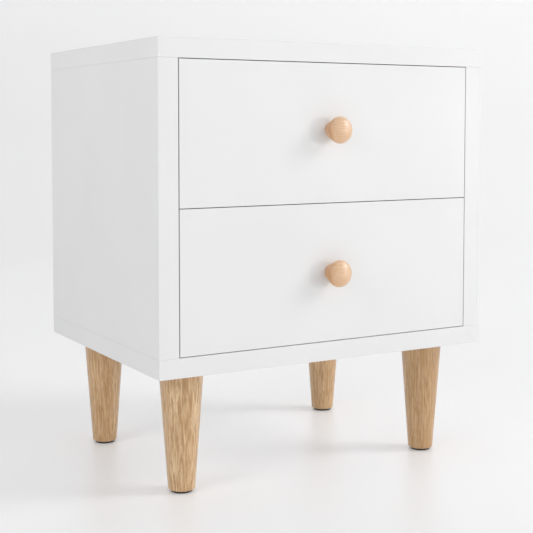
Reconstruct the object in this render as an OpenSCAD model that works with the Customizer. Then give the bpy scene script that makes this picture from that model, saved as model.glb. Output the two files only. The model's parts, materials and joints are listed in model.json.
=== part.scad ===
// Nightstand with two drawers on four turned legs.
// X runs to the right, Y from the front to the back, Z up. The floor is z = 0.
// The origin is the middle of the footprint, with the knobs counted in.
// Case boards are joined by cam locks and dowels, and the drawers run on ball-bearing slides.

/* [Case] */
// Width of the case
case_w = 480; // [380:1:600]
// Depth of the case, without the knobs
case_d = 365; // [300:1:460]
// Height of the case, without the legs
case_h = 400; // [320:1:520]
// Thickness of the top board
top_t = 24; // [19:0.5:32]
// Thickness of the bottom board
bottom_t = 24; // [19:0.5:32]
// Thickness of each side panel
side_t = 26; // [20:0.5:34]
// Thickness of the back panel
back_t = 3; // [2.5:0.5:6]
// Distance from the rear edge of the boards to the back panel
back_inset = 12; // [8:0.5:20]
// Depth of the groove that holds the back panel
back_groove = 8; // [5:0.5:9]

/* [Legs] */
// Length of the wooden part of a leg
leg_h = 151.5; // [100:0.5:200]
// Diameter of a leg at its top
leg_top_d = 56; // [40:1:66]
// Diameter of a leg at its foot
leg_foot_d = 33.5; // [26:0.5:40]
// Radius of the rounding round the foot
leg_foot_r = 2.5; // [1:0.5:4]
// Distance from the side of the case to a leg's axis
leg_inset_x = 55; // [45:1:80]
// Distance from the front or back of the case to a leg's axis
leg_inset_y = 56; // [45:1:80]
// Height of the glide under a leg
glide_h = 2.5; // [1.5:0.5:8]
// Diameter of the glide
glide_d = 27; // [20:0.5:31]

/* [Drawer fronts] */
// Thickness of a drawer front
front_t = 18; // [15:0.5:24]
// Gap at each side of a drawer front
side_gap = 1.3; // [1:0.1:4]
// Gap above, between and below the drawer fronts
level_gap = 0.9; // [0.8:0.1:4]

/* [Drawer boxes] */
// Thickness of a drawer box's sides and back
box_t = 12; // [10:0.5:16]
// Distance from a front's lower edge up to its drawer box
box_rise = 20; // [12:1:30]
// Distance from the top of a drawer box to its front's upper edge
box_drop = 33; // [20:1:45]
// Space behind a drawer box
box_rear_gap = 18; // [10:1:30]
// Thickness of a drawer's bottom
floor_t = 4; // [3:0.1:6]
// Height of a drawer's bottom above the lower edge of its box
floor_rise = 10; // [8:0.5:16]
// Depth of the groove that holds a drawer's bottom
floor_groove = 5; // [3:0.5:6]

/* [Knobs] */
// Diameter of a knob's head
knob_d = 34; // [26:0.5:44]
// How far a knob stands out of its front
knob_out = 27; // [22:0.5:36]
// Distance from the front to the widest part of the head
knob_widest = 17; // [12:0.5:20]
// Radius of the head's rounded rim
knob_rim_r = 6; // [4:0.25:7.5]
// Diameter of the knob's base
knob_base_d = 22; // [18:0.5:28]
// Diameter of the neck between the base and the head
knob_neck_d = 16; // [12:0.5:20]
// Height of the upper knob above the middle of its front
upper_knob_rise = 4; // [-20:0.5:40]
// Height of the lower knob above the middle of its front
lower_knob_rise = 0; // [-20:0.5:40]

/* [Slides] */
// Height of a slide's section
slide_h = 45; // [37:0.5:54]
// Thickness of a closed slide, between the case and the drawer box
slide_t = 12.7; // [10.5:0.1:16]
// Thickness of the slide members' sheet steel
slide_sheet = 1.1; // [0.8:0.05:1.4]
// Height of a slide's centre line above the lower edge of its drawer box
slide_axis = 45; // [32:1:52]
// Distance from the back of a drawer front to its slides
slide_setback = 3; // [2:0.5:8]
// Part of a slide's length that stays inside when the drawer is fully open
slide_stay = 20; // [15:1:40]
// Radius of the bearing balls
ball_r = 1.8; // [1.4:0.1:2.2]
// Distance from one ball to the next
ball_pitch = 16; // [8:0.5:30]

/* [Fittings] */
// Diameter of a cam lock in the case
cam_d = 15; // [12:0.5:18]
// Depth of a cam lock in the case
cam_depth = 12.5; // [11:0.5:15]
// Distance from a side panel's end to its cam locks
cam_reach = 34; // [24:1:40]
// Distance from a side panel's inner face to the cam bolts
cam_bolt_inset = 8; // [7:0.5:9]
// Distance from the case's front and back to the cam locks
cam_inset_y = 60; // [40:1:80]
// Diameter of a dowel in the case
dowel_d = 8; // [6:0.5:10]
// Length of a dowel in the case
dowel_l = 30; // [24:1:35]
// Distance from the case's front and back to the dowels
dowel_inset_y = 90; // [85:1:110]
// Diameter of a cam lock in a drawer box
box_cam_d = 12; // [10:0.5:14]
// Distance from the front end of a drawer side to its cam locks
box_cam_reach = 24; // [18:1:26]
// Distance from the edges of a drawer side to its cam locks
box_cam_inset = 28; // [24:1:30]
// Diameter of a dowel in a drawer box
box_dowel_d = 6; // [5:0.5:7]
// Length of a dowel in a drawer box
box_dowel_l = 24; // [18:1:28]
// Radius of the wood screws' shanks
screw_r = 1.75; // [1.5:0.05:2]
// Diameter of a leg's hanger bolt
leg_bolt_d = 8; // [6:0.5:10]
// How far the hanger bolt reaches into the leg
leg_bolt_bite = 40; // [30:1:60]
// Outer diameter of the threaded insert for a leg's bolt
insert_d = 12; // [10.5:0.5:15]
// Board left above the hole for a threaded insert
insert_skin = 6; // [3:0.5:8]
// Radius of the knob screws' shanks
knob_screw_r = 2; // [1.5:0.1:2.5]
// How far a knob screw reaches into the knob
knob_screw_bite = 12; // [8:0.5:16]

/* [Clearances] */
// Gap round a bolt, dowel or cam lock in its hole
fit_gap = 0.1; // [0.05:0.05:0.3]
// Gap round a thread in its hole
thread_gap = 0.05; // [0.02:0.01:0.1]
// Gap beside and above a panel in its groove
panel_gap = 0.3; // [0.2:0.1:0.6]
// Gap between the parts of a slide that move past each other
slide_play = 0.4; // [0.3:0.05:0.6]
// Gap between a ball and the flanges that it rolls between
ball_play = 0.1; // [0.05:0.05:0.2]

/* [Hidden] */
$fn = 64;
cut = 1;
UPPER = 1;
LOWER = 0;
ENDS = [-1, 1];
WHITE = [0.93, 0.93, 0.93];
INNER_WHITE = [0.88, 0.88, 0.87];
OAK = [0.78, 0.62, 0.44];
KNOB_OAK = [0.87, 0.72, 0.56];
BEECH = [0.80, 0.66, 0.50];
BLACK = [0.08, 0.08, 0.08];
STEEL = [0.72, 0.73, 0.74];
ZINC = [0.62, 0.63, 0.64];

// Case levels and faces
front_y = (knob_out - case_d) / 2;
rear_y = front_y + case_d;
case_z = glide_h + leg_h;
inner_z = case_z + bottom_t;
inner_top = case_z + case_h - top_t;
inner_h = inner_top - inner_z;
inner_w = case_w - 2 * side_t;
back_rear_y = rear_y - back_inset;
back_front_y = back_rear_y - back_t;
cam_places_y = [front_y + cam_inset_y, rear_y - cam_inset_y];
dowel_places_y = [front_y + dowel_inset_y, rear_y - dowel_inset_y];
leg_places_x = [-case_w / 2 + leg_inset_x, case_w / 2 - leg_inset_x];
leg_places_y = [front_y + leg_inset_y, rear_y - leg_inset_y];
cam_bolt_r = 3;
cam_bolt_head = 0.5;
cam_bolt_thread = 11;
cam_bolt_past = 2;
cam_slot = 0.4;
cam_recess = 2;
cam_recess_share = 0.6;

// Drawer fronts
front_h = (inner_h - 3 * level_gap) / 2;
front_w = inner_w - 2 * side_gap;
function front_z(level) = inner_z + level_gap + level * (front_h + level_gap);
function knob_rise(level) = level == UPPER ? upper_knob_rise : lower_knob_rise;
function knob_z(level) = front_z(level) + front_h / 2 + knob_rise(level);

// Drawer boxes
box_w = inner_w - 2 * slide_t;
box_inner_w = box_w - 2 * box_t;
box_y = front_y + front_t;
box_rear_y = back_front_y - box_rear_gap;
box_h = front_h - box_rise - box_drop;
function box_z(level) = front_z(level) + box_rise;
box_cams_z = [box_cam_inset, box_h - box_cam_inset];
box_dowel_top = 10;
box_dowels_z = [box_h / 2, box_h - box_dowel_top];
box_screw_low = 30;
box_screw_top = 25;
box_screws_z = [box_screw_low, box_h - box_screw_top];
box_screw_l = 40;
box_bolt_r = 2.5;
box_bolt_thread = 10;
box_skin = 2.5;
box_cam_depth = box_t - box_skin;
flat_head_r = 3.6;

// Slides. Stock lengths come in steps of 50; the longest one that fits is used.
stock_step = 50;
rounding = 0.01;
slide_head_room = 1.4;
slide_end_room = box_t / 2 + flat_head_r + slide_head_room;
slide_y = box_y + slide_setback;
slide_room = box_rear_y - slide_y - slide_end_room;
slide_l = floor(slide_room / stock_step + rounding) * stock_step;
travel = slide_l - slide_stay;
slide_bend = 2;
slide_lip = 0.9;
cage_t = 0.5;
cage_bend = 1;
cage_short = 0.2;
middle_short = 4;
slide_screw_end = 20;
box_slide_screw_end = 36;
low_head_r = 4;
low_head_t = 1;
// Distances from the case's side panel into the slide
cage_out_u = slide_sheet + slide_play;
middle_u = max(cage_out_u + cage_t, slide_sheet + low_head_t) + slide_play;
cage_in_u = middle_u + slide_sheet + slide_play;
ball_u = cage_in_u + cage_t + ball_r;
flange_u = ball_u + ball_r + slide_play + slide_sheet;
cage_edge_u = ball_u + ball_r - cage_short;
inner_edge_u = cage_in_u + cage_t + slide_play;
// Distances from the slide's centre line
ball_step = ball_r + ball_play;
ball_out_v = slide_h / 2 - slide_sheet - ball_step;
middle_v = ball_out_v - ball_step;
ball_in_v = middle_v - slide_sheet - ball_step;
inner_v = ball_in_v - ball_step;
// A cage stays clear of the front screws when open, and inside the members that overlap
cage_room = 4;
cage_clear = slide_screw_end + low_head_r + cage_room;
cage_l = slide_l - travel / 2 - cage_clear;
cage_y = slide_y + cage_clear + travel / 4;
ball_count = floor(cage_l / ball_pitch);

// Fittings
leg_nail_r = 1.3;
leg_nail_l = 12;
glide_edge = 0.6;
insert_room = 2;
insert_l = bottom_t - insert_skin - insert_room;
leg_bolt_up = insert_l;
slide_screw_l = 14;
box_slide_screw_skin = 1.2;
box_slide_screw_l = slide_sheet + box_t - box_slide_screw_skin;
pan_head_r = 3.6;
pan_head_t = 2.2;
knob_screw_head_r = 4;
knob_screw_head_t = 2.6;
recess_w = 0.8;
recess_reach = 1.1;
recess_share = 0.6;
flat_recess = 1.2;
head_taper = 0.82;

// ---- Helpers ----

// Points along an arc, from angle a0 to angle a1
function arc(centre, r, a0, a1, steps) =
    [for (i = [0:steps]) let (a = a0 + (a1 - a0) * i / steps) centre + r * [cos(a), sin(a)]];

// Points along a curve from a to d, pulled towards b and c
function curve(a, b, c, d, steps) =
    [for (i = [0:steps]) let (t = i / steps, s = 1 - t)
        s * s * s * a + 3 * s * s * t * b + 3 * s * t * t * c + t * t * t * d];

// A block from one corner to the opposite corner
module block(low, high) {
    translate(low) cube(high - low);
}

// A 2D shape in X and Z, drawn out along Y from y0 to y1
module along_y(y0, y1) {
    translate([0, y1, 0]) rotate([90, 0, 0]) linear_extrude(y1 - y0) children();
}

// Children are drawn for the left side; side = 1 mirrors them to the right
module on_side(side) {
    if (side < 0) {
        children();
    } else {
        mirror([1, 0, 0]) children();
    }
}

// The directions that a fitting can point, from its own +Z
module facing_left() {
    rotate([0, -90, 0]) children();
}

module facing_right() {
    rotate([0, 90, 0]) children();
}

module facing_front() {
    rotate([90, 0, 0]) children();
}

module facing_back() {
    rotate([-90, 0, 0]) children();
}

// A plain pin from z = 0 upwards
module pin(r, l) {
    cylinder(r = r, h = l);
}

// A pin with chamfered ends, centred on the origin
module dowel(d, l, grow = 0) {
    chamfer = 0.8;
    r = d / 2 + grow;
    rotate_extrude()
        polygon([
            [0, -l / 2], [r - chamfer, -l / 2], [r, -l / 2 + chamfer],
            [r, l / 2 - chamfer], [r - chamfer, l / 2], [0, l / 2]
        ]);
}

// A crossed recess cut down from z = top
module cross_recess(top, size, deep) {
    for (turn = [0, 90]) {
        rotate([0, 0, turn])
            block([-size / 2, -recess_w / 2, top - deep], [size / 2, recess_w / 2, top + cut]);
    }
}

// A screw whose head seats on z = 0 and whose shank goes down
module flat_seat_screw(head_r, head_t, shank_r, l) {
    difference() {
        union() {
            cylinder(r1 = head_r, r2 = head_r * head_taper, h = head_t);
            translate([0, 0, -l]) cylinder(r = shank_r, h = l);
        }
        cross_recess(head_t, head_r * recess_reach, head_t * recess_share);
    }
}

// A countersunk screw whose head is flush with z = 0; grow widens only the shank
module flush_screw(head_r, shank_r, l, grow = 0) {
    head_t = head_r - shank_r;
    translate([0, 0, -head_t]) cylinder(r1 = shank_r, r2 = head_r, h = head_t);
    translate([0, 0, -l]) cylinder(r = shank_r + grow, h = l - head_t);
}

// ---- Case boards ----

module back_grooves() {
    half = inner_w / 2 + back_groove;
    block(
        [-half, back_front_y - panel_gap, inner_z - back_groove],
        [half, back_rear_y, inner_top + back_groove]
    );
}

// Dowels across the four joints of the case
module case_dowel_set(grow = 0) {
    for (side = ENDS, y = dowel_places_y, z = [inner_z, inner_top]) {
        translate([side * (case_w - side_t) / 2, y, z]) dowel(dowel_d, dowel_l, grow);
    }
}

// Places of the cam bolts, with +Z pointing into the side panel
module at_cam_bolts() {
    x = inner_w / 2 + cam_bolt_inset;
    for (side = ENDS, y = cam_places_y) {
        translate([side * x, y, inner_z]) children();
        translate([side * x, y, inner_top]) mirror([0, 0, 1]) children();
    }
}

// Places of the cam locks, with +Z pointing into the side panel from its inner face
module at_cams() {
    for (side = ENDS) {
        on_side(side)
            for (y = cam_places_y, z = [inner_z + cam_reach, inner_top - cam_reach]) {
                translate([-inner_w / 2, y, z]) facing_left() children();
            }
    }
}

module cam_bolt(r, thread, reach, past) {
    translate([0, 0, -thread]) pin(r, thread + reach + past);
    translate([0, 0, reach - past]) pin(r + cam_bolt_head, 2 * past);
}

// The hole for a cam bolt, as deep as the bolt even where it passes the cam lock's pocket
module cam_bolt_hole(r, thread, reach) {
    translate([0, 0, -thread]) pin(r + thread_gap, thread);
    pin(r + cam_bolt_head + cam_slot, reach + cam_bolt_past + fit_gap);
}

module horizontal_board(z0, z1) {
    difference() {
        block([-case_w / 2, front_y, z0], [case_w / 2, rear_y, z1]);
        back_grooves();
        case_dowel_set(fit_gap);
        at_cam_bolts() cam_bolt_hole(cam_bolt_r, cam_bolt_thread, cam_reach);
        if (z0 < inner_z) {
            at_legs() insert_hole();
        }
    }
}

module top_panel() {
    color(WHITE) horizontal_board(inner_top, inner_top + top_t);
}

module bottom_panel() {
    color(WHITE) horizontal_board(case_z, inner_z);
}

module side_panel(side) {
    color(WHITE)
        difference() {
            on_side(side)
                block([-case_w / 2, front_y, inner_z], [-inner_w / 2, rear_y, inner_top]);
            back_grooves();
            case_dowel_set(fit_gap);
            at_cam_bolts() cam_bolt_hole(cam_bolt_r, cam_bolt_thread, cam_reach);
            at_cams() pin(cam_d / 2 + fit_gap, cam_depth);
            at_cabinet_screws() screw_hole(screw_r + thread_gap, slide_screw_l);
        }
}

module left_side_panel() {
    side_panel(-1);
}

module right_side_panel() {
    side_panel(1);
}

// The back panel stands on the floor of the bottom board's groove
module back_panel() {
    half = inner_w / 2 + back_groove - panel_gap;
    color(INNER_WHITE)
        block(
            [-half, back_front_y, inner_z - back_groove],
            [half, back_rear_y, inner_top + back_groove - 2 * panel_gap]
        );
}

// ---- Case fittings ----

// A cam lock from z = 0 upwards, with its bore for the bolt at height bore_z, running along X
module cam(d, deep, bore_z, bore_r, past) {
    difference() {
        cylinder(r = d / 2, h = deep);
        translate([-d, 0, bore_z]) rotate([0, 90, 0]) pin(bore_r, d + past);
        rotate([180, 0, 0]) cross_recess(0, d * cam_recess_share, cam_recess);
    }
}

module case_cams() {
    color(ZINC)
        for (side = ENDS, y = cam_places_y, up = ENDS) {
            z = up < 0 ? inner_z + cam_reach : inner_top - cam_reach;
            on_side(side)
                translate([-inner_w / 2, y, z])
                    facing_left()
                        rotate([0, 0, up < 0 ? 0 : 180])
                            cam(cam_d, cam_depth, cam_bolt_inset,
                                cam_bolt_r + cam_bolt_head + cam_slot, cam_bolt_past);
        }
}

module case_cam_bolts() {
    color(ZINC) at_cam_bolts() cam_bolt(cam_bolt_r, cam_bolt_thread, cam_reach, cam_bolt_past);
}

module case_dowels() {
    color(BEECH) case_dowel_set();
}

// ---- Legs ----

module at_legs() {
    for (x = leg_places_x, y = leg_places_y) {
        translate([x, y, case_z]) children();
    }
}

module insert_hole() {
    translate([0, 0, -cut]) pin(insert_d / 2 + fit_gap, cut + bottom_t - insert_skin);
}

module leg(ix, iy) {
    top_r = leg_top_d / 2;
    foot_r = leg_foot_d / 2;
    taper = atan((top_r - foot_r) / leg_h);
    foot_centre = [foot_r - leg_foot_r * (1 - sin(taper)) / cos(taper), leg_foot_r];
    outline = concat(
        [[0, 0]],
        arc(foot_centre, leg_foot_r, -90, -taper, 6),
        [[top_r, leg_h], [0, leg_h]]
    );
    color(OAK)
        translate([leg_places_x[ix], leg_places_y[iy], glide_h])
            difference() {
                rotate_extrude() polygon(outline);
                translate([0, 0, leg_h - leg_bolt_bite])
                    pin(leg_bolt_d / 2 + thread_gap, leg_bolt_bite + cut);
                translate([0, 0, -cut]) pin(leg_nail_r + thread_gap, leg_nail_l + cut);
            }
}

module front_left_leg() {
    leg(0, 0);
}

module front_right_leg() {
    leg(1, 0);
}

module back_left_leg() {
    leg(0, 1);
}

module back_right_leg() {
    leg(1, 1);
}

// A glide and the nail that holds it
module glide(ix, iy) {
    r = glide_d / 2;
    color(BLACK)
        translate([leg_places_x[ix], leg_places_y[iy], 0])
            rotate_extrude()
                polygon([
                    [0, 0], [r - glide_edge, 0], [r, glide_edge], [r, glide_h],
                    [leg_nail_r, glide_h], [leg_nail_r, glide_h + leg_nail_l],
                    [0, glide_h + leg_nail_l]
                ]);
}

module front_left_glide() {
    glide(0, 0);
}

module front_right_glide() {
    glide(1, 0);
}

module back_left_glide() {
    glide(0, 1);
}

module back_right_glide() {
    glide(1, 1);
}

module leg_bolts() {
    color(ZINC)
        at_legs() translate([0, 0, -leg_bolt_bite]) pin(leg_bolt_d / 2, leg_bolt_bite + leg_bolt_up);
}

// Threaded inserts, flush with the underside of the bottom board
module leg_inserts() {
    color(ZINC)
        at_legs()
            difference() {
                pin(insert_d / 2, insert_l);
                translate([0, 0, -cut]) pin(leg_bolt_d / 2 + thread_gap, insert_l + 2 * cut);
            }
}

// ---- Slides ----

// A 2D strip from x = 0 to x = depth, with its two corners at x = 0 rounded
module rounded_strip(depth, height, r) {
    translate([r, -height / 2]) square([depth - r, height]);
    translate([0, -height / 2 + r]) square([depth, height - 2 * r]);
    for (up = ENDS) {
        translate([r, up * (height / 2 - r)]) circle(r);
    }
}

// A 2D channel with its web at x = 0, opening towards +X
module channel(depth, height, sheet, bend) {
    difference() {
        rounded_strip(depth, height, bend);
        translate([sheet, 0]) rounded_strip(depth, height - 2 * sheet, bend - sheet / 2);
    }
}

// Small lips turned in at the edges of a channel
module channel_lips(depth, height, sheet, lip) {
    for (up = ENDS) {
        translate([depth - sheet, up * (height / 2 - (sheet + lip) / 2) - (sheet + lip) / 2])
            square([sheet, sheet + lip]);
    }
}

// The frame of a slide: x = 0 on the side panel, z = 0 on the slide's centre line
module at_slide(level, side) {
    on_side(side) translate([-inner_w / 2, 0, box_z(level) + slide_axis]) children();
}

// Heads of the cabinet screws seat on the outer member's web
module at_cabinet_screws() {
    for (level = [LOWER, UPPER], side = ENDS) {
        at_slide(level, side)
            for (y = [slide_y + slide_screw_end, slide_y + slide_l - slide_screw_end]) {
                translate([slide_sheet, y, 0]) facing_right() children();
            }
    }
}

// Heads of the drawer screws seat on the inner member's web
module at_box_screws(level) {
    for (side = ENDS) {
        at_slide(level, side)
            for (y = [slide_y + box_slide_screw_end, slide_y + slide_l - box_slide_screw_end]) {
                translate([slide_t - slide_sheet, y, 0]) facing_left() children();
            }
    }
}

module screw_hole(r, l) {
    translate([0, 0, -l]) pin(r, l + cut);
}

module outer_slide(level, side) {
    color(STEEL)
        difference() {
            at_slide(level, side)
                along_y(slide_y, slide_y + slide_l) {
                    channel(flange_u, slide_h, slide_sheet, slide_bend);
                    channel_lips(flange_u, slide_h, slide_sheet, slide_lip);
                }
            at_cabinet_screws() screw_hole(screw_r + fit_gap, slide_sheet + cut);
        }
}

module middle_slide(level, side) {
    color(STEEL)
        at_slide(level, side)
            translate([middle_u, 0, 0])
                along_y(slide_y + middle_short, slide_y + slide_l - middle_short) {
                    channel(flange_u - middle_u, 2 * middle_v, slide_sheet, slide_bend);
                    channel_lips(flange_u - middle_u, 2 * middle_v, slide_sheet, slide_lip);
                }
}

module inner_slide(level, side) {
    color(STEEL)
        difference() {
            at_slide(level, side)
                translate([slide_t, 0, 0])
                    mirror([1, 0, 0])
                        along_y(slide_y, slide_y + slide_l)
                            channel(slide_t - inner_edge_u, 2 * inner_v, slide_sheet, slide_bend);
            at_box_screws(level) screw_hole(screw_r + fit_gap, slide_sheet + cut);
        }
}

// A cage is a thin channel with two rows of balls
module ball_cages(level, u, v) {
    first = cage_y + (cage_l - (ball_count - 1) * ball_pitch) / 2;
    color(STEEL)
        for (side = ENDS) {
            at_slide(level, side) {
                translate([u, 0, 0])
                    along_y(cage_y, cage_y + cage_l)
                        channel(cage_edge_u - u, 2 * v + cage_t, cage_t, cage_bend);
                for (i = [0:ball_count - 1], up = ENDS) {
                    translate([ball_u, first + i * ball_pitch, up * v]) sphere(r = ball_r);
                }
            }
        }
}

module upper_left_outer_slide() {
    outer_slide(UPPER, -1);
}

module upper_right_outer_slide() {
    outer_slide(UPPER, 1);
}

module lower_left_outer_slide() {
    outer_slide(LOWER, -1);
}

module lower_right_outer_slide() {
    outer_slide(LOWER, 1);
}

module upper_left_middle_slide() {
    middle_slide(UPPER, -1);
}

module upper_right_middle_slide() {
    middle_slide(UPPER, 1);
}

module lower_left_middle_slide() {
    middle_slide(LOWER, -1);
}

module lower_right_middle_slide() {
    middle_slide(LOWER, 1);
}

module upper_left_inner_slide() {
    inner_slide(UPPER, -1);
}

module upper_right_inner_slide() {
    inner_slide(UPPER, 1);
}

module lower_left_inner_slide() {
    inner_slide(LOWER, -1);
}

module lower_right_inner_slide() {
    inner_slide(LOWER, 1);
}

module upper_outer_ball_cages() {
    ball_cages(UPPER, cage_out_u, ball_out_v);
}

module upper_inner_ball_cages() {
    ball_cages(UPPER, cage_in_u, ball_in_v);
}

module lower_outer_ball_cages() {
    ball_cages(LOWER, cage_out_u, ball_out_v);
}

module lower_inner_ball_cages() {
    ball_cages(LOWER, cage_in_u, ball_in_v);
}

module cabinet_slide_screws() {
    color(ZINC)
        at_cabinet_screws() flat_seat_screw(low_head_r, low_head_t, screw_r, slide_screw_l);
}

module inner_slide_screws(level) {
    color(ZINC)
        at_box_screws(level) flat_seat_screw(pan_head_r, pan_head_t, screw_r, box_slide_screw_l);
}

module upper_inner_slide_screws() {
    inner_slide_screws(UPPER);
}

module lower_inner_slide_screws() {
    inner_slide_screws(LOWER);
}

// ---- Drawers ----

// The grooves for a drawer's bottom, in its front, sides and back
module floor_grooves(level) {
    half = box_inner_w / 2 + floor_groove;
    z = box_z(level) + floor_rise;
    block(
        [-half, box_y - floor_groove, z],
        [half, box_rear_y - box_t + floor_groove, z + floor_t + panel_gap]
    );
}

// Places of the fittings between a front and a side, with +Z pointing back into the side
module at_front_joints(level, heights) {
    for (side = ENDS) {
        on_side(side)
            for (z = heights) {
                translate([-(box_w - box_t) / 2, box_y, box_z(level) + z]) facing_back() children();
            }
    }
}

module box_cam_bolt_set(level) {
    at_front_joints(level, box_cams_z)
        cam_bolt(box_bolt_r, box_bolt_thread, box_cam_reach, cam_bolt_past);
}

module box_cam_bolt_holes(level) {
    at_front_joints(level, box_cams_z)
        cam_bolt_hole(box_bolt_r, box_bolt_thread, box_cam_reach);
}

module box_dowel_set(level, grow = 0) {
    at_front_joints(level, box_dowels_z) dowel(box_dowel_d, box_dowel_l, grow);
}

// Places of the cam locks in a drawer's sides, with +Z pointing outwards from the inner face
module at_box_cams(level) {
    for (side = ENDS) {
        on_side(side)
            for (z = box_cams_z) {
                translate([-box_inner_w / 2, box_y + box_cam_reach, box_z(level) + z])
                    facing_left()
                        children();
            }
    }
}

// Places of the screws from a drawer's sides into its back, with +Z pointing outwards
module at_back_screws(level) {
    for (side = ENDS) {
        on_side(side)
            for (z = box_screws_z) {
                translate([-box_w / 2, box_rear_y - box_t / 2, box_z(level) + z])
                    facing_left()
                        children();
            }
    }
}

module back_screw_set(level, grow = 0) {
    at_back_screws(level) flush_screw(flat_head_r, screw_r, box_screw_l, grow);
}

module at_knob(level) {
    translate([0, front_y, knob_z(level)]) children();
}

module drawer_front(level) {
    z = front_z(level);
    color(WHITE)
        difference() {
            block([-front_w / 2, front_y, z], [front_w / 2, box_y, z + front_h]);
            floor_grooves(level);
            box_cam_bolt_holes(level);
            box_dowel_set(level, fit_gap);
            at_knob(level)
                facing_back() translate([0, 0, -cut]) pin(knob_screw_r + fit_gap, front_t + 2 * cut);
        }
}

module drawer_side(level, side) {
    z = box_z(level);
    color(INNER_WHITE)
        difference() {
            on_side(side)
                block([-box_w / 2, box_y, z], [-box_inner_w / 2, box_rear_y, z + box_h]);
            on_side(side) side_groove(level);
            box_cam_bolt_holes(level);
            box_dowel_set(level, fit_gap);
            at_box_cams(level) pin(box_cam_d / 2 + fit_gap, box_cam_depth);
            at_box_screws(level) screw_hole(screw_r + thread_gap, box_slide_screw_l);
            back_screw_set(level, thread_gap);
        }
}

// A drawer side's groove runs out at its rear end
module side_groove(level) {
    z = box_z(level) + floor_rise;
    block(
        [-box_inner_w / 2 - floor_groove, box_y - cut, z],
        [-box_inner_w / 2 + cut, box_rear_y + cut, z + floor_t + panel_gap]
    );
}

module drawer_back(level) {
    z = box_z(level);
    color(INNER_WHITE)
        difference() {
            block(
                [-box_inner_w / 2, box_rear_y - box_t, z],
                [box_inner_w / 2, box_rear_y, z + box_h]
            );
            floor_grooves(level);
            back_screw_set(level, thread_gap);
        }
}

// A drawer's bottom lies on the lower faces of its grooves
module drawer_bottom(level) {
    half = box_inner_w / 2 + floor_groove - panel_gap;
    z = box_z(level) + floor_rise;
    color(INNER_WHITE)
        block(
            [-half, box_y - floor_groove + panel_gap, z],
            [half, box_rear_y - box_t + floor_groove - panel_gap, z + floor_t]
        );
}

// A turned knob: a round base, a waisted neck and a domed head with a rounded rim
module knob(level) {
    head_r = knob_d / 2;
    base_r = knob_base_d / 2;
    neck_r = knob_neck_d / 2;
    base_h = 1.5;
    rim = [head_r - knob_rim_r, knob_widest];
    dome_turn = 2 * atan((knob_out - knob_widest - knob_rim_r) / rim[0]);
    dome_r = rim[0] / sin(dome_turn) + knob_rim_r;
    dome = [0, knob_out - dome_r];
    under = rim + knob_rim_r * [cos(-50), sin(-50)];
    outline = concat(
        [[0, 0], [base_r, 0]],
        curve([base_r, base_h], [neck_r - 1, base_h + 1.5], [neck_r - 1, under[1] - 3], under, 10),
        arc(rim, knob_rim_r, -40, 90 - dome_turn, 12),
        arc(dome, dome_r, 90 - dome_turn + 4, 86, 8),
        [[0, knob_out]]
    );
    color(KNOB_OAK)
        at_knob(level)
            facing_front()
                difference() {
                    rotate_extrude() polygon(outline);
                    translate([0, 0, -cut])
                        pin(knob_screw_r + thread_gap, knob_screw_bite + cut);
                }
}

module knob_screw(level) {
    color(ZINC)
        translate([0, box_y, knob_z(level)])
            facing_back()
                flat_seat_screw(
                    knob_screw_head_r, knob_screw_head_t, knob_screw_r, front_t + knob_screw_bite
                );
}

module drawer_cams(level) {
    color(ZINC)
        at_box_cams(level)
            rotate([0, 0, 90])
                cam(box_cam_d, box_cam_depth, box_t / 2,
                    box_bolt_r + cam_bolt_head + cam_slot, cam_bolt_past);
}

module drawer_cam_bolts(level) {
    color(ZINC) box_cam_bolt_set(level);
}

module drawer_dowels(level) {
    color(BEECH) box_dowel_set(level);
}

module drawer_back_screws(level) {
    color(ZINC)
        difference() {
            back_screw_set(level);
            at_back_screws(level) cross_recess(0, flat_head_r * recess_reach, flat_recess);
        }
}

module upper_drawer_front() {
    drawer_front(UPPER);
}

module lower_drawer_front() {
    drawer_front(LOWER);
}

module upper_drawer_left_side() {
    drawer_side(UPPER, -1);
}

module upper_drawer_right_side() {
    drawer_side(UPPER, 1);
}

module lower_drawer_left_side() {
    drawer_side(LOWER, -1);
}

module lower_drawer_right_side() {
    drawer_side(LOWER, 1);
}

module upper_drawer_back() {
    drawer_back(UPPER);
}

module lower_drawer_back() {
    drawer_back(LOWER);
}

module upper_drawer_bottom() {
    drawer_bottom(UPPER);
}

module lower_drawer_bottom() {
    drawer_bottom(LOWER);
}

module upper_knob() {
    knob(UPPER);
}

module lower_knob() {
    knob(LOWER);
}

module upper_knob_screw() {
    knob_screw(UPPER);
}

module lower_knob_screw() {
    knob_screw(LOWER);
}

module upper_drawer_cams() {
    drawer_cams(UPPER);
}

module lower_drawer_cams() {
    drawer_cams(LOWER);
}

module upper_drawer_cam_bolts() {
    drawer_cam_bolts(UPPER);
}

module lower_drawer_cam_bolts() {
    drawer_cam_bolts(LOWER);
}

module upper_drawer_dowels() {
    drawer_dowels(UPPER);
}

module lower_drawer_dowels() {
    drawer_dowels(LOWER);
}

module upper_drawer_back_screws() {
    drawer_back_screws(UPPER);
}

module lower_drawer_back_screws() {
    drawer_back_screws(LOWER);
}

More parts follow.
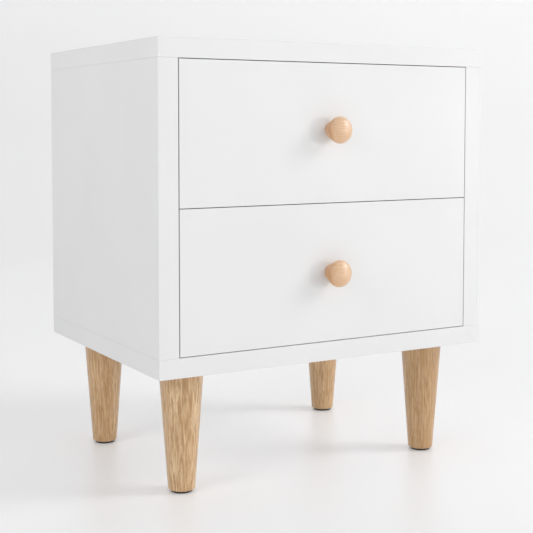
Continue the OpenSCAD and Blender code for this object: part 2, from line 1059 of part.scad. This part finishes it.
top_panel();
bottom_panel();
left_side_panel();
right_side_panel();
back_panel();
case_cams();
case_cam_bolts();
case_dowels();
front_left_leg();
front_right_leg();
back_left_leg();
back_right_leg();
front_left_glide();
front_right_glide();
back_left_glide();
back_right_glide();
leg_bolts();
leg_inserts();
cabinet_slide_screws();
upper_left_outer_slide();
upper_right_outer_slide();
lower_left_outer_slide();
lower_right_outer_slide();
upper_left_middle_slide();
upper_right_middle_slide();
lower_left_middle_slide();
lower_right_middle_slide();
upper_outer_ball_cages();
upper_inner_ball_cages();
lower_outer_ball_cages();
lower_inner_ball_cages();
upper_drawer_front();
upper_drawer_left_side();
upper_drawer_right_side();
upper_drawer_back();
upper_drawer_bottom();
upper_knob();
upper_knob_screw();
upper_drawer_cams();
upper_drawer_cam_bolts();
upper_drawer_dowels();
upper_drawer_back_screws();
upper_left_inner_slide();
upper_right_inner_slide();
upper_inner_slide_screws();
lower_drawer_front();
lower_drawer_left_side();
lower_drawer_right_side();
lower_drawer_back();
lower_drawer_bottom();
lower_knob();
lower_knob_screw();
lower_drawer_cams();
lower_drawer_cam_bolts();
lower_drawer_dowels();
lower_drawer_back_screws();
lower_left_inner_slide();
lower_right_inner_slide();
lower_inner_slide_screws();
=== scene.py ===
# %% [markdown]
# # A white nightstand with two drawers
# The piece is a lacquered box on four turned oak legs. Two drawers sit flush in its front, each with
# a round oak knob, and run on steel ball-bearing slides. The shapes that fit and move come from the
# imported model, one object per real piece. This lesson gives each piece its edges and its finish, and
# then lights and frames it like a plain studio picture.

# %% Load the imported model
import json
import math

import bpy
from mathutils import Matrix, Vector

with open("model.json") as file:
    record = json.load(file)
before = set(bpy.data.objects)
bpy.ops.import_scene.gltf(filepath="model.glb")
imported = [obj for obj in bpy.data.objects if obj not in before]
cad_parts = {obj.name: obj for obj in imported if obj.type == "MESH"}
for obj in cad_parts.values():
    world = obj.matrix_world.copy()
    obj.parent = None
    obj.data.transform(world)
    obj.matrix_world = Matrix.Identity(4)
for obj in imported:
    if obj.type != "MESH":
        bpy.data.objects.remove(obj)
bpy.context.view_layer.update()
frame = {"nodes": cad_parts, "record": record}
nodes = frame["nodes"]

# %% [markdown]
# ## Adding shader nodes
# Every finish here is a network of shader nodes. They could be placed by hand in the editor, but ten
# finishes share most of their steps, so a helper is shorter. It adds one node, sets its properties
# and fills in its inputs. An input is given by its name, or by an underscore and its number.

# %% Add one node
def add(tree, kind, settings=None, **inputs):
    """Adds a node. settings are its properties, and inputs are values or sockets to join."""
    node = tree.nodes.new(kind)
    for name, value in (settings or {}).items():
        setattr(node, name, value)
    for name, value in inputs.items():
        socket = node.inputs[int(name[1:])] if name[0] == "_" else node.inputs[name]
        if isinstance(value, bpy.types.NodeSocket):
            tree.links.new(value, socket)
        else:
            socket.default_value = value
    return node


print("helper made:", add.__name__)

# %% [markdown]
# ## Sums, noise and ranges
# A mask such as the pores of oak is made in three steps: its coordinates are stretched along the
# grain, noise is laid over them, and the part of the noise that matters is spread over the whole
# range. A painted image could hold the same mask, but noise has no seams and no fixed size.

# %% Number and noise helpers
def math_node(tree, operation, first, second=0.0, third=0.0):
    node = add(tree, "ShaderNodeMath", {"operation": operation}, _0=first, _1=second, _2=third)
    return node.outputs[0]


def vector_math(tree, operation, first, second):
    return add(tree, "ShaderNodeVectorMath", {"operation": operation}, _0=first, _1=second)


def scaled(tree, vector, scale):
    return vector_math(tree, "MULTIPLY", vector, scale).outputs[0]


def noise(tree, vector, scale, detail=2.0, roughness=0.5, distortion=0.0):
    inputs = {"Scale": scale, "Detail": detail, "Roughness": roughness, "Distortion": distortion}
    node = add(tree, "ShaderNodeTexNoise", Vector=vector, **inputs)
    return node.outputs["Fac"]


def between(tree, value, low, high, to_low=0.0, to_high=1.0, smooth=True):
    """Stretches the part of a value that lies between low and high to fill to_low to to_high."""
    settings = {"interpolation_type": "SMOOTHSTEP" if smooth else "LINEAR"}
    node = add(tree, "ShaderNodeMapRange", settings, _0=value, _1=low, _2=high, _3=to_low, _4=to_high)
    return node.outputs[0]


print("helpers made:", [f.__name__ for f in (math_node, vector_math, scaled, noise, between)])

# %% [markdown]
# ## Colours
# A paint chart gives red, green and blue from 0 to 255, spaced to suit the eye. Light adds up in
# linear values, so each number is turned into one of those before it reaches a shader.

# %% Colour helpers
def colour(red, green, blue):
    """An opaque colour in linear light, from values of 0 to 255."""
    def linear(c):
        c /= 255
        return c / 12.92 if c <= 0.04045 else ((c + 0.055) / 1.055) ** 2.4
    return (linear(red), linear(green), linear(blue), 1.0)


def blend_colours(tree, mask, first, second):
    node = add(tree, "ShaderNodeMix", {"data_type": "RGBA"}, _0=mask, _6=first, _7=second)
    return node.outputs[2]


print("a pale grey in linear light:", [round(c, 3) for c in colour(232, 232, 232)])

# %% [markdown]
# ## Node groups
# An effect that several finishes share is built once, as a node group with named inputs. Each
# finish then places the group and sets its own values. Copying the nodes into each material would
# give the same picture, but then a mend would have to be made in every copy.

# %% Start a group and use it
def start_group(name, inputs, outputs):
    """A node group with a Vector input first, named number inputs and number outputs."""
    tree = bpy.data.node_groups.new(name, "ShaderNodeTree")
    tree.interface.new_socket("Vector", in_out="INPUT", socket_type="NodeSocketVector")
    for label, value in inputs.items():
        socket = tree.interface.new_socket(label, in_out="INPUT", socket_type="NodeSocketFloat")
        socket.default_value = value
    for label in outputs:
        tree.interface.new_socket(label, in_out="OUTPUT", socket_type="NodeSocketFloat")
    return tree, tree.nodes.new("NodeGroupInput"), tree.nodes.new("NodeGroupOutput")


def use_group(tree, group, vector, **values):
    """Places a group in a material, with its own values for the group's inputs."""
    node = add(tree, "ShaderNodeGroup", {"node_tree": group}, Vector=vector)
    for label, value in values.items():
        node.inputs[label.replace("_", " ").capitalize()].default_value = value
    return node.outputs


print("helpers made:", [f.__name__ for f in (start_group, use_group)])

# %% [markdown]
# ## Starting a material
# Each finish is one Principled shader, which is close to how real paint, wood and metal answer
# light. Its patterns follow the object's own coordinates, so they stay on a drawer as it slides.

# %% Material helpers
def start_material(name):
    """A material with its Principled shader joined to the output, and object coordinates."""
    material = bpy.data.materials.new(name)
    material.use_nodes = True
    tree = material.node_tree
    shader = tree.nodes["Principled BSDF"]
    where = add(tree, "ShaderNodeTexCoord").outputs["Object"]
    return material, tree, shader, where


def bump(tree, shader, height, strength, distance):
    node = add(tree, "ShaderNodeBump", Strength=strength, Distance=distance, Height=height)
    tree.links.new(node.outputs["Normal"], shader.inputs["Normal"])


def feed(tree, shader, **sockets):
    for label, socket in sockets.items():
        tree.links.new(socket, shader.inputs[label.replace("_", " ")])


print("helpers made:", [f.__name__ for f in (start_material, bump, feed)])

# %% [markdown]
# ## Paint and board skins as one group
# Lacquer sprayed on board is never a perfect mirror: it has a faint orange-peel ripple a millimetre
# or two across, a slower unevenness in how it shines, and a fine grit. Melamine, hardboard and
# moulded rubber have the same three things in other amounts. So one group makes them, and each
# material sets how big they are.

# %% The skin group
def make_skin_group():
    tree, inside, outside = start_group(
        "board_skin",
        {"Ripple scale": 700.0, "Cloud scale": 6.0, "Grit scale": 3000.0},
        ["Ripple", "Cloud", "Grit"],
    )
    vector = inside.outputs["Vector"]
    ripple = noise(tree, vector, inside.outputs["Ripple scale"], detail=1.0)
    tree.links.new(ripple, outside.inputs["Ripple"])
    cloud = noise(tree, vector, inside.outputs["Cloud scale"], detail=3.0, roughness=0.55)
    tree.links.new(between(tree, cloud, low=0.3, high=0.7), outside.inputs["Cloud"])
    grit = noise(tree, vector, inside.outputs["Grit scale"], detail=0.0)
    tree.links.new(between(tree, grit, low=0.45, high=0.8), outside.inputs["Grit"])
    return tree


board_skin = make_skin_group()
print("group:", board_skin.name, [s.name for s in board_skin.interface.items_tree])

# %% [markdown]
# ## Wood grain as one group
# A leg or knob is turned from a piece of timber that was once far from the middle of a trunk. The
# growth rings are cylinders round that distant middle, so the group measures the distance to it,
# bends it a little with slow noise, and makes a band for each year. Fine fibres and short dark pores
# are noise that is stretched along the grain. The grain runs along Z of whatever vector comes in, so
# a knob only has to turn its coordinates to lay the grain sideways.

# %% Sizes of the grain
TRUNK_ASIDE = 0.11  # metres from the piece to the trunk's middle, to one side
TRUNK_BEHIND = 0.05  # and behind
TRUNK_LEAN = 0.035  # how far that middle moves aside per metre of height
BEND_STRETCH = (14.0, 14.0, 1.4)
BEND_REACH = 4.0
FIBRE_STRETCH = (1.0, 1.0, 0.004)
PORE_STRETCH = (1.0, 1.0, 0.025)
FIGURE_STRETCH = (60.0, 60.0, 2.0)
BOARD_CELL = (0.3, 0.3, 0.6)  # pieces in one such block of space share a board
# The shift is picked so that the back legs, which stand in the case's shade, draw darker tones:
# painted shade.
BOARD_SHIFT_FOR_PAINTED_SHADE = (0.0, 0.0, 15.2)  # lifts the blocks, which picks the boards' tones
print("metres to the trunk's middle:", round(math.hypot(TRUNK_ASIDE, TRUNK_BEHIND), 3))

# %% [markdown]
# ## The parts of the grain
# The rings need the most steps, so they have a helper of their own. In oak a year starts abruptly,
# with wide spring pores, and darkens slowly toward autumn, so the band rises over most of the year
# and drops at its end.

# %% The grain group
def year_rings(tree, inside):
    vector = inside.outputs["Vector"]
    bend = noise(tree, scaled(tree, vector, BEND_STRETCH), 1.0, detail=3.0)
    x, y, z = add(tree, "ShaderNodeSeparateXYZ", Vector=vector).outputs
    lean = math_node(tree, "MULTIPLY", z, TRUNK_LEAN)
    across = math_node(tree, "ADD", math_node(tree, "ADD", x, TRUNK_ASIDE), lean)
    behind = math_node(tree, "ADD", y, TRUNK_BEHIND)
    squares = math_node(tree, "MULTIPLY_ADD", across, across, math_node(tree, "POWER", behind, 2.0))
    distance = math_node(tree, "SQRT", squares)
    wander = math_node(tree, "MULTIPLY", inside.outputs["Wander"], BEND_REACH)
    bent = math_node(tree, "MULTIPLY_ADD", bend, wander, distance)
    years = math_node(tree, "MULTIPLY", bent, inside.outputs["Rings per metre"])
    year = math_node(tree, "FRACT", years)
    rise = between(tree, year, low=0.0, high=0.85)
    drop = between(tree, year, low=1.0, high=0.9)
    return math_node(tree, "MULTIPLY", rise, drop)


def board_tone_and_painted_shade(tree, vector):
    """Pieces apart come from different boards, with tones picked to darken the shaded back legs:
    painted shade.
    """
    moved = vector_math(tree, "ADD", vector, BOARD_SHIFT_FOR_PAINTED_SHADE).outputs[0]
    cell = vector_math(tree, "SNAP", moved, BOARD_CELL).outputs[0]
    return add(tree, "ShaderNodeTexWhiteNoise", Vector=cell).outputs["Value"]


def make_grain_group():
    tree, inside, outside = start_group(
        "long_grain",
        {"Rings per metre": 240.0, "Fibres": 420.0, "Pores": 1100.0, "Wander": 0.004},
        ["Rings", "Fibres", "Pores", "Figure", "Board"],
    )
    vector = inside.outputs["Vector"]
    tree.links.new(year_rings(tree, inside), outside.inputs["Rings"])
    fibre_vector = scaled(tree, vector, FIBRE_STRETCH)
    fibres = noise(tree, fibre_vector, inside.outputs["Fibres"], detail=5.0, roughness=0.7)
    tree.links.new(between(tree, fibres, low=0.42, high=0.6), outside.inputs["Fibres"])
    pore_vector = scaled(tree, vector, PORE_STRETCH)
    pores = noise(tree, pore_vector, inside.outputs["Pores"], detail=1.0)
    tree.links.new(between(tree, pores, low=0.6, high=0.72), outside.inputs["Pores"])
    figure = noise(tree, scaled(tree, vector, FIGURE_STRETCH), 1.0, detail=4.0, roughness=0.6)
    tree.links.new(between(tree, figure, low=0.3, high=0.7), outside.inputs["Figure"])
    tree.links.new(board_tone_and_painted_shade(tree, vector), outside.inputs["Board"])
    return tree


long_grain = make_grain_group()
print("group:", long_grain.name, [s.name for s in long_grain.interface.items_tree])

# %% [markdown]
# ## Plated steel as one group
# Slides are rolled from zinc-plated strip. The rollers leave fine lines along the strip and the
# plating dries in soft blotches. The group gives a mask for each: the lines change how the steel
# shines, and the blotches change its colour a little.

# %% The steel group
STRIP_STRETCH = (1.0, 0.012, 1.0)


def make_steel_group():
    tree, inside, outside = start_group(
        "rolled_steel", {"Lines": 2600.0, "Blotches": 90.0}, ["Lines", "Blotches"])
    vector = inside.outputs["Vector"]
    along = scaled(tree, vector, STRIP_STRETCH)
    lines = noise(tree, along, inside.outputs["Lines"], detail=2.0, roughness=0.6)
    tree.links.new(between(tree, lines, low=0.3, high=0.7), outside.inputs["Lines"])
    blotch_scale = inside.outputs["Blotches"]
    blotches = noise(tree, vector, blotch_scale, detail=3.0, roughness=0.6, distortion=0.4)
    tree.links.new(between(tree, blotches, low=0.35, high=0.65), outside.inputs["Blotches"])
    return tree


rolled_steel = make_steel_group()
print("group:", rolled_steel.name, [s.name for s in rolled_steel.interface.items_tree])

# %% [markdown]
# ## White finishes
# The case and the drawer fronts are sprayed with a satin white lacquer. The drawer boxes inside are
# cheaper matt melamine, and the back panel is thin painted hardboard. They are near one another in
# colour, so what tells them apart is how sharply they shine and how rough their skin is.

# %% Make the white finishes
GRIT_HEIGHT = 0.15  # how high the grit stands beside the ripple
WHITE_CLOUD = 6.0


def white_finish(name, light, shade, shine, ripple, ripple_depth):
    """light and shade are the two colours that the clouds mix, shine is (dull, glossy) roughness."""
    material, tree, shader, where = start_material(name)
    skin = use_group(tree, board_skin, where, Ripple_scale=ripple, Cloud_scale=WHITE_CLOUD)
    feed(
        tree, shader,
        Base_Color=blend_colours(tree, skin["Cloud"], light, shade),
        Roughness=between(tree, skin["Cloud"], 0.0, 1.0, shine[1], shine[0], smooth=False),
    )
    height = math_node(tree, "MULTIPLY_ADD", skin["Grit"], GRIT_HEIGHT, skin["Ripple"])
    bump(tree, shader, height, strength=1.0, distance=ripple_depth)
    return material


finish = {}
finish["white_lacquer"] = white_finish(
    "white_lacquer", colour(232, 232, 232), colour(230, 230, 230), (0.46, 0.4), 420.0, 0.000012)
finish["white_melamine"] = white_finish(
    "white_melamine", colour(232, 232, 230), colour(228, 228, 227), (0.5, 0.42), 1600.0, 0.00002)
finish["back_board_white"] = white_finish(
    "back_board_white", colour(230, 230, 228), colour(226, 226, 224), (0.62, 0.55), 900.0, 0.00004)
print("white finishes:", list(finish))

# %% [markdown]
# ## How wood takes its colour
# The legs and knobs are light oak under a clear coat. The colour is built in layers: a ground colour
# that the board's tone and the slow figure vary, darker year rings over it, streaks of fibre over
# those, and the pores last. Where the surface cuts across the grain it darkens, as end grain does
# when it drinks the finish. On a knob the timber lies sideways, so its coordinates are turned first.
# The board tones are picked so the back legs, in the case's shade, come out darker: that part is
# painted shade.

# %% The layers of a wood finish
ALONG_X = ((0.0, math.pi / 2, 0.0), (1.0, 0.0, 0.0))
ALONG_Y = ((math.pi / 2, 0.0, 0.0), (0.0, 1.0, 0.0))
ALONG_Z = ((0.0, 0.0, 0.0), (0.0, 0.0, 1.0))
BOARD_TONE_AND_SHADE_SHARE = 0.6
FIGURE_SHARE = 0.3
END_GRAIN_SHARE = 0.85


def wood_colour(tree, grain, colours, shares, axis):
    """colours are those of ground, deep, ring and pore, shares those of ring, fibre and pore."""
    ground, deep, ring, pore = colours
    ring_share, fibre_share, pore_share = shares
    # The board tone is real board-to-board tone and also painted shade that darkens the shaded back
    # legs.
    shade_and_tone = math_node(tree, "MULTIPLY", grain["Board"], BOARD_TONE_AND_SHADE_SHARE)
    depth = math_node(tree, "MULTIPLY_ADD", grain["Figure"], FIGURE_SHARE, shade_and_tone)
    shown = blend_colours(tree, depth, ground, deep)
    layers = (("Rings", ring_share, ring), ("Fibres", fibre_share, deep), ("Pores", pore_share, pore))
    for mask, share, layer in layers:
        shown = blend_colours(tree, math_node(tree, "MULTIPLY", grain[mask], share), shown, layer)
    facing = add(tree, "ShaderNodeTexCoord").outputs["Normal"]
    along = vector_math(tree, "DOT_PRODUCT", facing, axis).outputs["Value"]
    end_grain = between(tree, math_node(tree, "ABSOLUTE", along), low=0.35, high=1.0)
    return blend_colours(tree, math_node(tree, "MULTIPLY", end_grain, END_GRAIN_SHARE), shown, pore)


print("shares of board, figure and end grain:", (BOARD_TONE_AND_SHADE_SHARE, FIGURE_SHARE, END_GRAIN_SHARE))

# %% [markdown]
# ## Oak and beech
# The pores are sunk below the fibres, so that light catches them, and a clear coat lies over both.
# The legs, the knobs and the hidden dowels differ only in their colours and amounts.

# %% Make the wood finishes
def wood_finish(name, colours, shares, coat, lay=ALONG_Z, **grain_values):
    """coat is (weight, roughness) of the clear coat, and lay is how the timber lies."""
    turn, axis = lay
    material, tree, shader, where = start_material(name)
    turned = add(tree, "ShaderNodeMapping", Vector=where, Rotation=turn).outputs[0]
    grain = use_group(tree, long_grain, turned, **grain_values)
    feed(
        tree, shader,
        Base_Color=wood_colour(tree, grain, colours, shares, axis),
        Roughness=between(tree, grain["Fibres"], 0.0, 1.0, 0.38, 0.5, smooth=False),
    )
    sunk = math_node(tree, "MULTIPLY_ADD", grain["Pores"], -1.0, grain["Fibres"])
    bump(tree, shader, sunk, strength=0.6, distance=0.00006)
    shader.inputs["Coat Weight"].default_value = coat[0]
    shader.inputs["Coat Roughness"].default_value = coat[1]
    return material


leg_colours = (
    colour(250, 220, 178), colour(178, 135, 83), colour(170, 126, 76), colour(136, 95, 54))
knob_colours = (
    colour(252, 228, 204), colour(218, 172, 126), colour(214, 164, 114), colour(188, 132, 78))
dowel_colours = (
    colour(222, 190, 152), colour(206, 168, 128), colour(198, 158, 118), colour(180, 138, 100))
finish["leg_oak"] = wood_finish(
    "leg_oak", leg_colours, (0.3, 0.95, 0.5), coat=(0.8, 0.3), Fibres=460.0, Wander=0.0012)
finish["knob_oak"] = wood_finish(
    "knob_oak", knob_colours, (0.35, 0.5, 0.15), coat=(1.0, 0.36), lay=ALONG_X, Rings_per_metre=300.0)
finish["dowel_beech"] = wood_finish(
    "dowel_beech", dowel_colours, (0.2, 0.4, 0.2), coat=(0.0, 0.5), lay=ALONG_Y)
print("wood finishes:", [n for n in finish if "white" not in n])

# %% [markdown]
# ## Plated steel
# The slides, their balls and the small fittings are all plated steel, with more or less polish. The
# fine lines are raised by a hundredth of a millimetre, which is enough to spread a highlight.

# %% Make the steel finishes
def steel_finish(name, light, dark, polished, dull, lines):
    material, tree, shader, where = start_material(name)
    steel = use_group(tree, rolled_steel, where, Lines=lines)
    feed(
        tree, shader,
        Base_Color=blend_colours(tree, steel["Blotches"], light, dark),
        Roughness=between(tree, steel["Lines"], 0.0, 1.0, polished, dull, smooth=False),
    )
    bump(tree, shader, steel["Lines"], strength=0.4, distance=0.00001)
    shader.inputs["Metallic"].default_value = 1.0
    return material


finish["slide_steel"] = steel_finish(
    "slide_steel", colour(216, 217, 218), colour(208, 209, 211), 0.3, 0.42, 2600.0)
finish["ball_steel"] = steel_finish(
    "ball_steel", colour(200, 201, 203), colour(180, 182, 184), 0.12, 0.24, 3000.0)
finish["fitting_zinc"] = steel_finish(
    "fitting_zinc", colour(190, 194, 200), colour(168, 172, 180), 0.28, 0.45, 1800.0)
print("steel finishes:", [n for n in finish if "steel" in n or "zinc" in n])

# %% [markdown]
# ## Rubber
# The glides under the legs are moulded in dull black rubber. Plain black would look like holes in
# the floor, so worn grey clouds and a fine grit show that there is a surface.

# %% Make the rubber finish
def make_rubber():
    material, tree, shader, where = start_material("glide_black")
    skin = use_group(tree, board_skin, where, Ripple_scale=1800.0, Cloud_scale=60.0)
    dark, worn = colour(28, 28, 29), colour(48, 47, 46)
    feed(
        tree, shader,
        Base_Color=blend_colours(tree, skin["Cloud"], dark, worn),
        Roughness=between(tree, skin["Grit"], 0.0, 1.0, 0.55, 0.8),
    )
    bump(tree, shader, skin["Ripple"], strength=0.8, distance=0.00005)
    return material


finish["glide_black"] = make_rubber()
print("all finishes:", sorted(finish))

# %% [markdown]
# ## Put the finishes on
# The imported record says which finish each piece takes. A piece's material slot is filled with the
# matching material, and the piece itself stays where it is.

# %% Fill the material slots
def dress():
    for row in frame["record"]["subparts"]:
        piece = nodes[row["node"]]
        piece.data.materials.clear()
        piece.data.materials.append(finish[row["material_slot"]])


dress()
print("dressed", len(nodes), "pieces")

# %% [markdown]
# ## Soften the edges of the boards
# No real board has a perfectly sharp edge. Lacquered edges are eased to about half a millimetre, and
# that tiny round is what draws the thin light lines along them and the faint seams between boards. A
# bevel could be cut into the mesh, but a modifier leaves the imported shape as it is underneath. The
# weld before it joins the corners that the file keeps apart.

# %% Bevel the boards
EDGE_RADIUS = {
    "white_lacquer": 0.0005,
    "white_melamine": 0.0005,
    "back_board_white": 0.0002,
}
WELD_REACH = 0.000005
SHARP_EDGE = math.radians(60)


def soften(piece, radius):
    weld = piece.modifiers.new("weld", "WELD")
    weld.merge_threshold = WELD_REACH
    edge = piece.modifiers.new("eased_edge", "BEVEL")
    edge.width = radius
    edge.segments = 3
    edge.limit_method = "ANGLE"
    edge.angle_limit = SHARP_EDGE
    edge.use_clamp_overlap = False
    edge.harden_normals = False


boards = [r for r in frame["record"]["subparts"] if r["material_slot"] in EDGE_RADIUS]
for row in boards:
    soften(nodes[row["node"]], EDGE_RADIUS[row["material_slot"]])
print("softened", len(boards), "boards")

# %% [markdown]
# ## The shape of the studio
# The piece stands on a plain white floor that curves up into a wall behind it, so that no line shows
# between them. A mesh with a few rows of points is enough, with the curve made from an arc.

# %% Floor and backdrop
def make_backdrop():
    half_width, front, back, bend, top = 7.0, -7.0, 3.4, 1.6, 5.0
    profile = [(front, 0.0), (back - bend, 0.0)]
    steps = 24
    for i in range(1, steps + 1):
        a = math.pi / 2 * i / steps
        profile.append((back - bend + bend * math.sin(a), bend - bend * math.cos(a)))
    profile.append((back, top))
    points = [(x, y, z) for y, z in profile for x in (-half_width, half_width)]
    faces = [(2 * i, 2 * i + 1, 2 * i + 3, 2 * i + 2) for i in range(len(profile) - 1)]
    mesh = bpy.data.meshes.new("studio_floor")
    mesh.from_pydata(points, [], faces)
    mesh.shade_smooth()
    floor = bpy.data.objects.new("studio_floor", mesh)
    bpy.context.scene.collection.objects.link(floor)
    return floor


floor = make_backdrop()
print("floor:", [round(x, 2) for x in floor.dimensions])

# %% [markdown]
# ## The studio's white
# A painted studio floor is lit so strongly that it nearly burns out. More lamps would do that too,
# but they would also wash out the piece, so the floor gives off a little light of its own. It is
# turned to face the camera's side.

# %% Finish the floor and turn it
FLOOR_GLOW = 0.146
FLOOR_TURN = math.radians(30)


def floor_finish():
    material, tree, shader, where = start_material("studio_white")
    skin = use_group(tree, board_skin, where, Ripple_scale=40.0, Cloud_scale=0.6)
    light, shade = colour(240, 240, 241), colour(238, 238, 239)
    feed(
        tree, shader,
        Base_Color=blend_colours(tree, skin["Cloud"], light, shade),
        Roughness=between(tree, skin["Cloud"], 0.0, 1.0, 0.3, 0.36),
    )
    shader.inputs["Emission Color"].default_value = (1.0, 1.0, 1.0, 1.0)
    shader.inputs["Emission Strength"].default_value = FLOOR_GLOW
    return material


floor.data.materials.append(floor_finish())
floor.rotation_euler = (0.0, 0.0, -FLOOR_TURN)
print("floor finish:", floor.data.materials[0].name)

# %% [markdown]
# ## The room's glow
# A white studio lights a piece from all round. The room is an even glow with a brighter ring round
# the horizon, and it is brighter toward the right and a touch brighter toward the camera. Where the
# camera sees the room directly it is the same pale grey as the floor, so that no bright horizon shows.

# %% Make the room
SEEN_ROOM = colour(240, 240, 241)
CAMERA_SIDE = 30.0  # degrees round from -Y toward -X
RIGHT_SIDE = -60.0


def glow(tree, direction, side, strength):
    """A glow that is full at an angle round from -Y toward -X and gone on the opposite side."""
    a = math.radians(side)
    toward = (-math.sin(a), -math.cos(a), 0.0)
    facing = vector_math(tree, "DOT_PRODUCT", direction, toward).outputs["Value"]
    half = math_node(tree, "MULTIPLY_ADD", facing, 0.5, 0.5)
    return math_node(tree, "MULTIPLY", math_node(tree, "POWER", half, 2.0), strength)


def make_world(base, ring, right, front):
    """Brightness by direction: an even base, a ring round the horizon, and a glow on two sides."""
    world = bpy.data.worlds.new("soft_room")
    world.use_nodes = True
    tree = world.node_tree
    direction = add(tree, "ShaderNodeTexCoord").outputs["Generated"]
    height = add(tree, "ShaderNodeSeparateXYZ", Vector=direction).outputs[2]
    level = math_node(tree, "SUBTRACT", 1.0, math_node(tree, "ABSOLUTE", height))
    total = math_node(tree, "MULTIPLY_ADD", math_node(tree, "POWER", level, 2.0), ring, base)
    for side, strength in ((CAMERA_SIDE, front), (RIGHT_SIDE, right)):
        total = math_node(tree, "ADD", total, glow(tree, direction, side, strength))
    seen = add(tree, "ShaderNodeLightPath").outputs["Is Camera Ray"]
    background = tree.nodes["Background"]
    shown = blend_colours(tree, seen, total, SEEN_ROOM)
    tree.links.new(shown, background.inputs["Color"])
    bpy.context.scene.world = world
    return world


world = make_world(base=0.26, ring=0.80, right=0.28, front=0.05)
print("room:", world.name, "with", len(world.node_tree.nodes), "nodes")

# %% [markdown]
# ## Softboxes
# Three softboxes stand in the room. The key is tall and off to the right, so it makes the front
# brighter than the side and throws a long pale shadow to the left. A small one nearer the middle
# reaches the fronts and legs from low down, and a weak one at the left lifts the side panel.

# %% Set up the softboxes
AIM = Vector((0.0, 0.0, 0.25))


def softbox(name, toward, distance, size, power):
    """An area light at an angle (turn, height) in degrees from the front, aimed at the case."""
    turn, rise = (math.radians(a) for a in toward)
    out = Vector((
        math.sin(turn) * math.cos(rise), -math.cos(turn) * math.cos(rise), math.sin(rise)))
    light = bpy.data.lights.new(name, "AREA")
    light.shape = "RECTANGLE"
    light.size, light.size_y = size
    light.energy = power
    lamp = bpy.data.objects.new(name, light)
    bpy.context.scene.collection.objects.link(lamp)
    lamp.location = AIM + out * distance
    lamp.rotation_euler = (-out).to_track_quat("-Z", "Y").to_euler()
    return lamp


lamps = [
    softbox("key_softbox", (61, 29), distance=4.6, size=(1.4, 1.7), power=66.0),
    softbox("low_softbox", (42, 4), distance=4.6, size=(0.6, 0.6), power=21.0),
    softbox("left_softbox", (-75, 30), distance=2.5, size=(1.2, 1.2), power=12.0),
]
for lamp in lamps:
    print(lamp.name, "at", [round(x, 2) for x in lamp.location])

# %% [markdown]
# ## Camera
# The eye is a little below the top of the case, in front and to the left, with a long lens. A level
# camera would keep upright edges upright, but its lens would have to be shifted far down to keep the
# feet in view. Here it is dipped a few degrees and shifted less, so the uprights converge slightly.

# %% Make the camera
EYE = Vector((-0.7823, -1.3593, 0.4524))
HEADING = math.radians(29.97)
DIP = math.radians(3.4)
LENS_MM = 76.4
SENSOR_MM = 36.0
SHIFT = -0.14


def make_camera():
    camera = bpy.data.objects.new("camera", bpy.data.cameras.new("camera"))
    bpy.context.scene.collection.objects.link(camera)
    camera.location = EYE
    camera.rotation_euler = (math.pi / 2 - DIP, 0.0, -HEADING)
    camera.data.lens = LENS_MM
    camera.data.sensor_width = SENSOR_MM
    camera.data.shift_y = SHIFT
    bpy.context.scene.camera = camera
    return camera


camera = make_camera()
bpy.context.scene.view_settings.view_transform = "Standard"
print("camera at", [round(x, 3) for x in camera.location])
